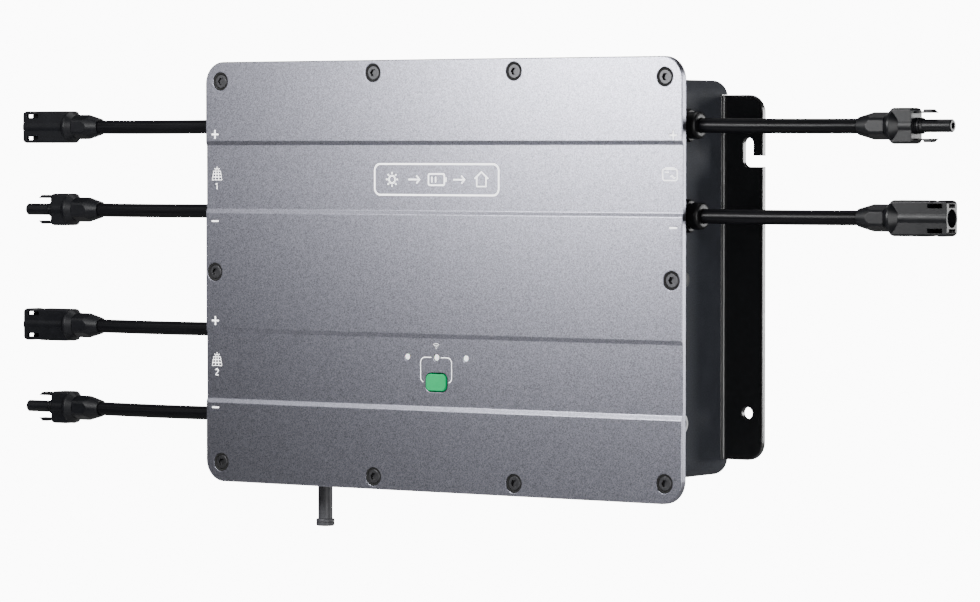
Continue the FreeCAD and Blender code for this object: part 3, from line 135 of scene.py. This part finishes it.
def make_area_light(name, place, target, width, height, power):
    """A soft rectangular light in a place, pointed at a target."""
    data = bpy.data.lights.new(name, "AREA")
    data.shape = "RECTANGLE"
    data.size = width
    data.size_y = height
    data.energy = power
    light = add_object(name, data)
    light.location = place
    light.rotation_euler = (Vector(target) - Vector(place)).to_track_quat("-Z", "Y").to_euler()


WHITE = (1, 1, 1, 1)
BACKDROP_GLOW = 11.0
SURROUND_GLOW = 0.03


def make_world():
    """A white backdrop, and a dim even surround for everything that the object reflects."""
    world = bpy.data.worlds.new("studio")
    world.use_nodes = True
    nodes = world.node_tree.nodes
    links = world.node_tree.links
    nodes.clear()
    backdrop = nodes.new("ShaderNodeBackground")
    backdrop.inputs["Strength"].default_value = BACKDROP_GLOW
    surround = nodes.new("ShaderNodeBackground")
    surround.inputs["Strength"].default_value = SURROUND_GLOW
    for light in (backdrop, surround):
        light.inputs["Color"].default_value = WHITE
    path = nodes.new("ShaderNodeLightPath")
    mix = nodes.new("ShaderNodeMixShader")
    output = nodes.new("ShaderNodeOutputWorld")
    links.new(path.outputs["Is Camera Ray"], mix.inputs["Fac"])
    links.new(surround.outputs["Background"], mix.inputs[1])
    links.new(backdrop.outputs["Background"], mix.inputs[2])
    links.new(mix.outputs["Shader"], output.inputs["Surface"])
    bpy.context.scene.world = world


FLOOR_HEIGHT = -0.30
FLOOR_RADIUS = 1.1
FLOOR_FADE_START = 0.5
FLOOR_STEPS = 96
FLOOR_PAPER = (0.85, 0.85, 0.85, 1)
FLOOR_BOUNCE = (0.42, 0.42, 0.42, 1)


def make_floor():
    """A round pale floor whose rim fades into the backdrop, and which lights the object less."""
    form = bmesh.new()
    bmesh.ops.create_circle(form, cap_ends=True, segments=FLOOR_STEPS, radius=FLOOR_RADIUS)
    floor = add_mesh("floor", form)
    floor.location = (0, 0, FLOOR_HEIGHT)
    material = bpy.data.materials.new("floor_paper")
    material.use_nodes = True
    tree = material.node_tree
    shader = tree.nodes["Principled BSDF"]
    seen = tree.nodes.new("ShaderNodeLightPath")
    paper = tree.nodes.new("ShaderNodeMixRGB")
    paper.inputs["Color1"].default_value = FLOOR_BOUNCE
    paper.inputs["Color2"].default_value = FLOOR_PAPER
    tree.links.new(seen.outputs["Is Camera Ray"], paper.inputs["Fac"])
    tree.links.new(paper.outputs["Color"], shader.inputs["Base Color"])
    shader.inputs["Roughness"].default_value = 0.9
    shader.inputs["Specular IOR Level"].default_value = 0.1
    place = tree.nodes.new("ShaderNodeTexCoord")
    away = tree.nodes.new("ShaderNodeVectorMath")
    away.operation = "LENGTH"
    fade = tree.nodes.new("ShaderNodeMapRange")
    fade.interpolation_type = "SMOOTHSTEP"
    fade.inputs["From Min"].default_value = FLOOR_FADE_START
    fade.inputs["From Max"].default_value = FLOOR_RADIUS
    fade.inputs["To Min"].default_value = 1.0
    fade.inputs["To Max"].default_value = 0.0
    tree.links.new(place.outputs["Object"], away.inputs[0])
    tree.links.new(away.outputs["Value"], fade.inputs["Value"])
    tree.links.new(fade.outputs["Result"], shader.inputs["Alpha"])
    floor.data.materials.append(material)


def make_studio():
    make_world()
    make_floor()
    for light in LIGHTS:
        make_area_light(*light)


# ------------------------------------------------------------------ cords

def make_cables():
    """One cable for each lead: a smooth curve from its gland to its connector, with a slight sag."""
    for name, (side, tail, height, drop) in LEADS.items():
        start = Vector((side * LEAD_EXIT_X, LEAD_AXIS_Y, height))
        end = Vector((side * (tail + LEAD_HOLD - GLAND_GAP), LEAD_AXIS_Y, height - drop))
        middle = (start + end) / 2 - Vector((0, 0, LEAD_SAG))
        curve = bpy.data.curves.new(name + "_lead", "CURVE")
        curve.dimensions = "3D"
        curve.bevel_depth = LEAD_RADIUS * MM
        curve.bevel_resolution = 8
        curve.use_fill_caps = True
        curve.resolution_u = 16
        spline = curve.splines.new("NURBS")
        spline.points.add(2)
        for point, place in zip(spline.points, (start, middle, end)):
            point.co = (*(place * MM), 1)
        spline.order_u = 3
        spline.use_endpoint_u = True
        lead = add_object(name + "_lead", curve)
        curve.materials.append(material_for("cable_jacket"))
        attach(lead, "hub")
        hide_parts(name + "_cable")


# ------------------------------------------------------------------ materials

NOISE_ROUGHNESS = 0.6


class Recipe:
    """A short way to wire one procedural material, in the row frame's own coordinates."""

    def __init__(self, name):
        self.material = bpy.data.materials.new(name)
        self.material.use_nodes = True
        self.tree = self.material.node_tree
        self.shader = self.tree.nodes["Principled BSDF"]
        self.place = self.tree.nodes.new("ShaderNodeTexCoord").outputs["Object"]

    def node(self, kind, inputs, **settings):
        item = self.tree.nodes.new("ShaderNode" + kind)
        for key, value in settings.items():
            setattr(item, key, value)
        for key, value in inputs.items():
            if isinstance(value, bpy.types.NodeSocket):
                self.tree.links.new(value, item.inputs[key])
            else:
                item.inputs[key].default_value = value
        return item

    def stretch(self, factors):
        """The place, scaled by a factor along each axis."""
        return self.node("Mapping", {"Vector": self.place, "Scale": factors}).outputs["Vector"]

    def noise(self, size, detail=2.0, place=None):
        """Even noise with features of about the given size in millimetres."""
        inputs = {"Vector": place or self.place, "Scale": 1 / (size * MM), "Detail": detail,
                  "Roughness": NOISE_ROUGHNESS}
        return self.node("TexNoise", inputs).outputs["Fac"]

    def cells(self, size):
        inputs = {"Vector": self.place, "Scale": 1 / (size * MM)}
        return self.node("TexVoronoi", inputs).outputs["Distance"]

    def rings(self, pitch, axis, bend=0.0):
        """Bands that repeat along an axis at a pitch in millimetres."""
        inputs = {"Vector": self.place, "Scale": math.pi / (10 * pitch * MM), "Distortion": bend}
        return self.node("TexWave", inputs, bands_direction=axis).outputs["Fac"]

    def spread(self, value, low, high, start=0.3, end=0.7):
        """A 0 to 1 value turned into a range between two numbers."""
        inputs = {"Value": value, "From Min": start, "From Max": end, "To Min": low, "To Max": high}
        return self.node("MapRange", inputs).outputs["Result"]

    def blend(self, amount, dark, light):
        """A colour between two, by a 0 to 1 amount."""
        ramp = self.node("ValToRGB", {"Fac": amount})
        ramp.color_ramp.elements[0].color = (*dark, 1)
        ramp.color_ramp.elements[1].color = (*light, 1)
        return ramp.outputs["Color"]

    def tinted(self, colour, amount, contrast):
        """A colour that varies by a share of itself either way."""
        dark = [channel * (1 - contrast) for channel in colour]
        light = [min(1.0, channel * (1 + contrast)) for channel in colour]
        return self.blend(self.spread(amount, 0.0, 1.0), dark, light)

    def finish(self, colour, roughness, height, depth, edge=0.0, **settings):
        """Wires the colour, roughness, bump and rounded edges into the shader."""
        self.tree.links.new(colour, self.shader.inputs["Base Color"])
        self.tree.links.new(roughness, self.shader.inputs["Roughness"])
        normal = None
        if edge:
            normal = self.node("Bevel", {"Radius": edge * MM}, samples=4).outputs["Normal"]
        inputs = {"Height": height, "Distance": depth * MM, "Strength": 1.0}
        if normal is not None:
            inputs["Normal"] = normal
        normal = self.node("Bump", inputs).outputs["Normal"]
        self.tree.links.new(normal, self.shader.inputs["Normal"])
        for key, value in settings.items():
            self.shader.inputs[key.replace("_", " ")].default_value = value
        return self.material


def grained(name, colour, contrast, roughness, grain, bump, edge, mottle=9.0, patchy=0.06, **settings):
    """A blasted, coated or moulded surface: fine grain over faint wide mottling.

    Grain, bump, edge and mottle are in millimetres; contrast and patchy are shares.
    """
    recipe = Recipe(name)
    fine = recipe.noise(grain, 3.0)
    wide = recipe.noise(mottle, 2.0)
    patches = recipe.spread(wide, -patchy, patchy)
    mixed = recipe.node("Math", {0: fine, 1: patches}, operation="ADD").outputs[0]
    tone = recipe.tinted(colour, mixed, contrast)
    return recipe.finish(tone, recipe.spread(wide, *roughness), fine, bump, edge, **settings)


STREAK_WIDTH = 0.25


def brushed(name, colour, contrast, roughness, length, edge):
    """Metal with fine marks drawn out along Z."""
    recipe = Recipe(name)
    streaks = recipe.noise(STREAK_WIDTH, 2.0, recipe.stretch((1.0, 1.0, STREAK_WIDTH / length)))
    tone = recipe.tinted(colour, streaks, contrast)
    return recipe.finish(tone, recipe.spread(streaks, *roughness), streaks, 0.01, edge, Metallic=1.0)


def wound_copper():
    """Enamelled wire laid side by side round a core."""
    recipe = Recipe("winding_copper")
    wire = recipe.rings(0.9, "X", 0.6)
    tone = recipe.blend(wire, (0.10, 0.03, 0.012), (0.62, 0.27, 0.12))
    gloss = recipe.spread(recipe.noise(3.0), 0.22, 0.4)
    return recipe.finish(tone, gloss, wire, 0.25, 0.3, Metallic=0.8)


def circuit_board():
    """Green solder resist over a web of tracks, with small bright pads."""
    recipe = Recipe("board_laminate")
    web = recipe.cells(4.2)
    tracks = recipe.rings(2.1, "X", 3.0)
    etched = recipe.spread(tracks, 0.0, 1.0, 0.42, 0.58)
    resist = recipe.blend(etched, (0.012, 0.10, 0.045), (0.02, 0.17, 0.075))
    pads = recipe.spread(web, 1.0, 0.0, 0.10, 0.14)
    tone = recipe.node("MixRGB", {"Fac": pads, "Color1": resist, "Color2": (0.62, 0.6, 0.55, 1)})
    gloss = recipe.spread(recipe.noise(6.0), 0.28, 0.42)
    return recipe.finish(tone.outputs["Color"], gloss, tracks, 0.03, 0.2)


def capacitor_sleeve():
    """Dark shrink sleeve with a pale stripe down one side."""
    recipe = Recipe("capacitor_sleeve")
    wide = recipe.noise(5.0)
    stripe = recipe.spread(recipe.rings(20.0, "X"), 0.0, 1.0, 0.93, 0.95)
    tone = recipe.blend(stripe, (0.02, 0.035, 0.09), (0.55, 0.56, 0.58))
    return recipe.finish(tone, recipe.spread(wide, 0.18, 0.34), wide, 0.02, 0.4, Coat_Weight=0.3)


def milky_guide_painted_glow():
    """Milky clear plastic of the light pipes, with a faint even painted glow that makes them read white."""
    recipe = Recipe("light_guide")
    wide = recipe.noise(1.6)
    tone = recipe.tinted((0.82, 0.82, 0.84), wide, 0.06)
    # painted glow: a faint even emission that brightens the pipes, with no lamp behind them
    return recipe.finish(tone, recipe.spread(wide, 0.2, 0.34), wide, 0.01, 0.25,
                         Subsurface_Weight=0.25, Subsurface_Scale=0.002,
                         Emission_Color=WHITE, Emission_Strength=0.4)


def cable_sheath():
    """Extruded jacket: long faint draw lines and a satin skin."""
    recipe = Recipe("cable_jacket")
    lines = recipe.noise(0.9, 2.0, recipe.stretch((0.02, 1.0, 1.0)))
    wide = recipe.noise(14.0)
    tone = recipe.tinted((0.004, 0.004, 0.0048), lines, 0.35)
    return recipe.finish(tone, recipe.spread(wide, 0.28, 0.34), lines, 0.03, Specular_IOR_Level=0.06)


GRAINED = {
    # slot: (colour, contrast, roughness range, grain, bump, edge), other settings
    "cover_metal": (
        ((0.210, 0.211, 0.248), 0.5, (0.367, 0.373), 0.6, 0.006, 0.75),
        {"mottle": 2.0, "patchy": 0.02, "Metallic": 1.0},
    ),
    "housing_paint": (
        ((0.0205, 0.0225, 0.029), 0.35, (0.66, 0.74), 0.8, 0.06, 0.5),
        {"Specular_IOR_Level": 0.25},
    ),
    "bracket_paint": (
        ((0.0025, 0.0025, 0.003), 0.3, (0.292, 0.308), 1.3, 0.03, 1.3),
        {"mottle": 4.0, "patchy": 0.02, "Specular_IOR_Level": 0.9},
    ),
    "seal_rubber": (
        ((0.009, 0.009, 0.009), 0.25, (0.7, 0.85), 0.5, 0.03, 0.3),
        {"Specular_IOR_Level": 0.2},
    ),
    "button_green": (
        ((0.0, 0.28, 0.09), 0.06, (0.5, 0.58), 0.6, 0.006, 0.6),
        {"Specular_IOR_Level": 0.03},
    ),
    "component_black": (
        ((0.018, 0.018, 0.02), 0.3, (0.5, 0.62), 0.5, 0.03, 0.25),
        {},
    ),
    "terminal_plastic": (
        ((0.025, 0.11, 0.045), 0.12, (0.42, 0.52), 0.6, 0.02, 0.3),
        {},
    ),
    "gland_plastic": (
        ((0.004, 0.004, 0.0045), 0.3, (0.32, 0.4), 0.7, 0.012, 0.4),
        {"Specular_IOR_Level": 0.13},
    ),
    "antenna_plastic": (
        ((0.042, 0.042, 0.047), 0.2, (0.4, 0.48), 0.6, 0.012, 0.4),
        {"Specular_IOR_Level": 0.35},
    ),
    "connector_plastic": (
        ((0.004, 0.0042, 0.0054), 0.3, (0.34, 0.42), 0.6, 0.015, 0.5),
        {"Specular_IOR_Level": 0.2},
    ),
    # printed ink: white print plus a painted glow, an even emission that makes the marks brighter than the
    # lamps light them
    "printed_ink": (
        ((0.9, 0.9, 0.91), 0.04, (0.5, 0.62), 0.35, 0.004, 0.0),
        {"Emission_Color": WHITE, "Emission_Strength": 1.5},
    ),
}
BRUSHED = {
    # slot: colour, contrast, roughness range, length of the marks, edge
    "screw_steel": ((0.05, 0.05, 0.053), 0.2, (0.42, 0.52), 2.0, 0.3),
    "shield_metal": ((0.6, 0.6, 0.59), 0.1, (0.24, 0.36), 3.0, 0.2),
    "port_metal": ((0.22, 0.22, 0.23), 0.15, (0.3, 0.42), 2.0, 0.3),
    "contact_metal": ((0.7, 0.67, 0.58), 0.1, (0.2, 0.3), 2.0, 0.2),
}
SPECIAL = {
    "light_guide": milky_guide_painted_glow,
    "board_laminate": circuit_board,
    "winding_copper": wound_copper,
    "capacitor_sleeve": capacitor_sleeve,
    "cable_jacket": cable_sheath,
}
made_materials = {}


def make_material(slot):
    if slot in GRAINED:
        values, settings = GRAINED[slot]
        return grained(slot, *values, **settings)
    if slot in BRUSHED:
        return brushed(slot, *BRUSHED[slot])
    return SPECIAL[slot]()


def material_for(slot):
    """The one material of a slot, made when it is first asked for."""
    if slot not in made_materials:
        made_materials[slot] = make_material(slot)
    return made_materials[slot]


def paint_nodes():
    """Gives every CAD piece the procedural material of its slot."""
    for part in frame["record"]["subparts"]:
        slot = part["material_slot"]
        item = frame["nodes"][part["node"]]
        item.data.materials.clear()
        item.data.materials.append(material_for(slot))


# ------------------------------------------------------------------ printed marks on the cover, white ink with a painted glow

INK_FLATNESS = 0.06


def ink_line(name, paths, width):
    """Lines of flat ink on the cover, with a painted glow; each path is (closed, points) with x and z in
    millimetres.
    """
    curve = bpy.data.curves.new(name, "CURVE")
    curve.dimensions = "3D"
    curve.bevel_depth = width / 2 * MM
    curve.bevel_resolution = 3
    curve.use_fill_caps = True
    for closed, points in paths:
        spline = curve.splines.new("POLY")
        spline.points.add(len(points) - 1)
        for point, (across, up) in zip(spline.points, points):
            point.co = (across * MM, 0, up * MM, 1)
        spline.use_cyclic_u = closed
    line = add_object(name, curve)
    line.location = (0, BAND_FRONT * MM, 0)
    line.scale = (1, INK_FLATNESS, 1)
    curve.materials.append(material_for("printed_ink"))
    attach(line, "hub")


def arc(centre, radius, start, end, steps=8):
    """Points along an arc; the angles are in degrees from +X towards +Z."""
    turns = [math.radians(start + (end - start) * count / steps) for count in range(steps + 1)]
    return [(centre[0] + radius * math.cos(turn), centre[1] + radius * math.sin(turn)) for turn in turns]


def rounded_box(centre, width, height, corner):
    """A closed path round a rectangle with round corners."""
    points = []
    for count, (right, up) in enumerate(((1, 1), (-1, 1), (-1, -1), (1, -1))):
        middle = (centre[0] + right * (width / 2 - corner), centre[1] + up * (height / 2 - corner))
        points += arc(middle, corner, 90 * count, 90 * count + 90)
    return True, points


def moved(paths, across, up):
    return [(closed, [(across + x, up + z) for x, z in points]) for closed, points in paths]


def sun(radius):
    """A circle with eight short rays."""
    paths = [(True, arc((0, 0), radius, 0, 345, 23))]
    for count in range(8):
        turn = math.radians(45 * count)
        paths.append((False, [(reach * radius * math.cos(turn), reach * radius * math.sin(turn))
                              for reach in (1.45, 2.0)]))
    return paths


PANEL_LINES = (
    [(True, [(-3.6, -3.7), (3.6, -3.7), (2.5, 1.5), (-2.5, 1.5)])]
    + [(False, [(-3.23, -1.95), (3.23, -1.95)]), (False, [(-2.86, -0.2), (2.86, -0.2)])]
    + [(False, [(1.2 * side, -3.7), (0.85 * side, 1.5)]) for side in (-1, 1)]
    + [(False, arc((0, 2.0), 1.0, 0, 180))]
    + [(False, [(1.5 * math.cos(turn), 2.0 + 1.5 * math.sin(turn)),
                (2.1 * math.cos(turn), 2.0 + 2.1 * math.sin(turn))])
       for turn in (math.radians(30), math.radians(90), math.radians(150))]
)
ONE_LINES = [(False, [(-0.8, 1.0), (0.2, 1.8), (0.2, -1.8)])]
TWO_LINES = [(False, arc((0, 0.8), 1.0, 170, -20) + [(-1.05, -1.8), (1.1, -1.8)])]
INVERTER_LINES = [
    rounded_box((0, -0.4), 9.4, 6.2, 1.2),
    (False, [(-3.0, 3.4), (3.0, 3.4)]),
    (False, [(-3.2, 1.0), (-0.9, 1.0)]),
    (False, arc((1.2, -1.6), 0.7, 180, 0) + arc((2.6, -1.6), 0.7, 180, 360)),
]
ARROW_LINES = [(False, [(-4.0, 0), (4.0, 0)]), (False, [(1.6, 2.2), (4.0, 0), (1.6, -2.2)])]
BATTERY_LINES = [
    rounded_box((0, 0), 11.0, 6.4, 1.0),
    (False, [(6.6, 1.2), (6.6, -1.2)]),
    (False, [(-3.2, 1.6), (-3.2, -1.6)]),
    (False, [(-0.6, 1.6), (-0.6, -1.6)]),
]
HOUSE_LINES = [
    (False, [(-4.6, 0.6), (0, 4.4), (4.6, 0.6)]),
    (False, [(-3.2, 1.4), (-3.2, -3.8), (3.2, -3.8), (3.2, 1.4)]),
]
RADIO_LINES = [(False, arc((0, -1.1), radius, 135, 45)) for radius in (1.0, 1.95, 2.9)]


FRAME_MIDDLE = -0.3
FRAME_HALF = 10.75
FRAME_TOP = -46.3
FRAME_FOOT = -57.9
FRAME_GAP = 3.3
FRAME_TOP_CORNER = 3.0
FRAME_FOOT_CORNER = 2.6


def button_frame():
    """The line that runs round the button and stops at the middle light."""
    right = [(FRAME_GAP, FRAME_TOP)]
    for step in range(7):
        turn = math.radians(step * 15)
        right.append((FRAME_HALF - FRAME_TOP_CORNER + FRAME_TOP_CORNER * math.sin(turn),
                      FRAME_TOP - FRAME_TOP_CORNER + FRAME_TOP_CORNER * math.cos(turn)))
    for step in range(6):
        turn = math.radians(step * 15)
        right.append((FRAME_HALF - FRAME_FOOT_CORNER * (1 - math.cos(turn)),
                      FRAME_FOOT - FRAME_FOOT_CORNER * math.sin(turn)))
    return [(False, [(FRAME_MIDDLE + side * x, z) for x, z in right]) for side in (-1, 1)]


def make_prints():
    ink_line("panel_mark_1", moved(PANEL_LINES, -157.4, 57.6), 0.5)
    ink_line("panel_mark_2", moved(PANEL_LINES, -157.7, -51.4), 0.5)
    ink_line("panel_number_1", moved(ONE_LINES, -157.6, 50.2), 0.6)
    ink_line("panel_number_2", moved(TWO_LINES, -157.8, -58.8), 0.6)
    ink_line("inverter_mark", moved(INVERTER_LINES, 156.4, 58.3), 0.6)
    ink_line("badge_frame", [rounded_box((-0.2, 54.7), 86.0, 17.6, 3.8)], 1.0)
    badge = moved(sun(2.1), -31.0, 54.7) + moved(ARROW_LINES, -15.6, 54.7) + moved(BATTERY_LINES, 0.0, 54.7)
    badge += moved(ARROW_LINES, 15.6, 54.7) + moved(HOUSE_LINES, 31.0, 54.7)
    ink_line("badge_marks", badge, 0.85)
    ink_line("radio_mark", moved(RADIO_LINES, -0.2, -40.1), 0.2)
    ink_line("radio_dot", [(False, [(-0.35, -41.3), (0.05, -41.3)])], 0.5)
    ink_line("button_frame", button_frame(), 0.42)


MARK_SPAN = 5.1
MARK_STROKE = 0.9
MARK_FILL = 0.09
MARK_DEPTH = 0.12
MARK_EDGE = 0.03
POLARITY_MARKS = [
    ("plus", -158.0, 80.6), ("minus", -158.0, 29.8), ("plus", -158.0, -28.6), ("minus", -158.0, -79.6),
    ("plus", 159.2, 79.5), ("minus", 159.2, 28.9),
]


def sign_outline(sign):
    """The outline of a plus or a minus sign, in millimetres about its middle."""
    half, thin = MARK_SPAN / 2, MARK_STROKE / 2
    if sign == "minus":
        return [(-half, -thin), (half, -thin), (half, thin), (-half, thin)]
    quarter = [(thin, thin), (thin, half), (-thin, half)]
    points = []
    for _ in range(4):
        points += quarter
        quarter = [(-z, x) for x, z in quarter]
    return points


def make_polarity_marks():
    """White ink, with a painted glow, that fills the engraved signs beside the leads and stays just below
    the face.
    """
    for count, (sign, across, up) in enumerate(POLARITY_MARKS):
        form = bmesh.new()
        corners = [form.verts.new((x * MM, 0, z * MM)) for x, z in sign_outline(sign)]
        face = form.faces.new(corners)
        grown = bmesh.ops.extrude_face_region(form, geom=[face])
        lifted = [item for item in grown["geom"] if isinstance(item, bmesh.types.BMVert)]
        bmesh.ops.translate(form, verts=lifted, vec=(0, -MARK_FILL * MM, 0))
        bmesh.ops.recalc_face_normals(form, faces=form.faces[:])
        mark = add_mesh(f"{sign}_mark_{count}", form)
        mark.location = metres(across, COVER_FRONT + MARK_DEPTH, up)
        mark.data.materials.append(material_for("printed_ink"))
        soft = mark.modifiers.new("soft", "BEVEL")
        soft.width = MARK_EDGE * MM
        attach(mark, "hub")


WASHER_OUTSIDE = 5.36
WASHER_INSIDE = 4.14
WASHER_FRONT = 0.3
WASHER_BACK = 2.5
WASHER_LIP = 0.25
WASHER_STEPS = 48
SCREW_PLACES = (
    [(side * 153.8, level * 111.6) for side in (-1, 1) for level in (-1, 1)]
    + [(place, level * 115.6) for place in (-43.6, 53.8) for level in (-1, 1)]
    + [(side * 158.2, 0.0) for side in (-1, 1)]
)


def make_screw_washers():
    """The dark sealing rings that fill the counterbores round the cover screws."""
    profile = [
        (WASHER_INSIDE, WASHER_BACK),
        (WASHER_OUTSIDE, WASHER_BACK),
        (WASHER_OUTSIDE, WASHER_FRONT + WASHER_LIP),
        (WASHER_OUTSIDE - WASHER_LIP, WASHER_FRONT),
        (WASHER_INSIDE + WASHER_LIP, WASHER_FRONT + WASHER_LIP),
        (WASHER_INSIDE, WASHER_FRONT + 2 * WASHER_LIP),
    ]
    form = bmesh.new()
    for across, up in SCREW_PLACES:
        rings = []
        for count in range(WASHER_STEPS):
            turn = 2 * math.pi * count / WASHER_STEPS
            ring = []
            for reach, depth in profile:
                x, z = across + reach * math.cos(turn), up + reach * math.sin(turn)
                ring.append(form.verts.new(metres(x, COVER_FRONT + depth, z)))
            rings.append(ring)
        for ring, after in zip(rings, rings[1:] + rings[:1]):
            for near in range(len(profile)):
                far = (near + 1) % len(profile)
                form.faces.new((ring[near], ring[far], after[far], after[near]))
    bmesh.ops.recalc_face_normals(form, faces=form.faces[:])
    washers = add_mesh("screw_washers", form)
    washers.data.materials.append(material_for("seal_rubber"))
    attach(washers, "hub")


make_camera()
paint_nodes()
make_cables()
make_prints()
make_polarity_marks()
make_screw_washers()
make_studio()
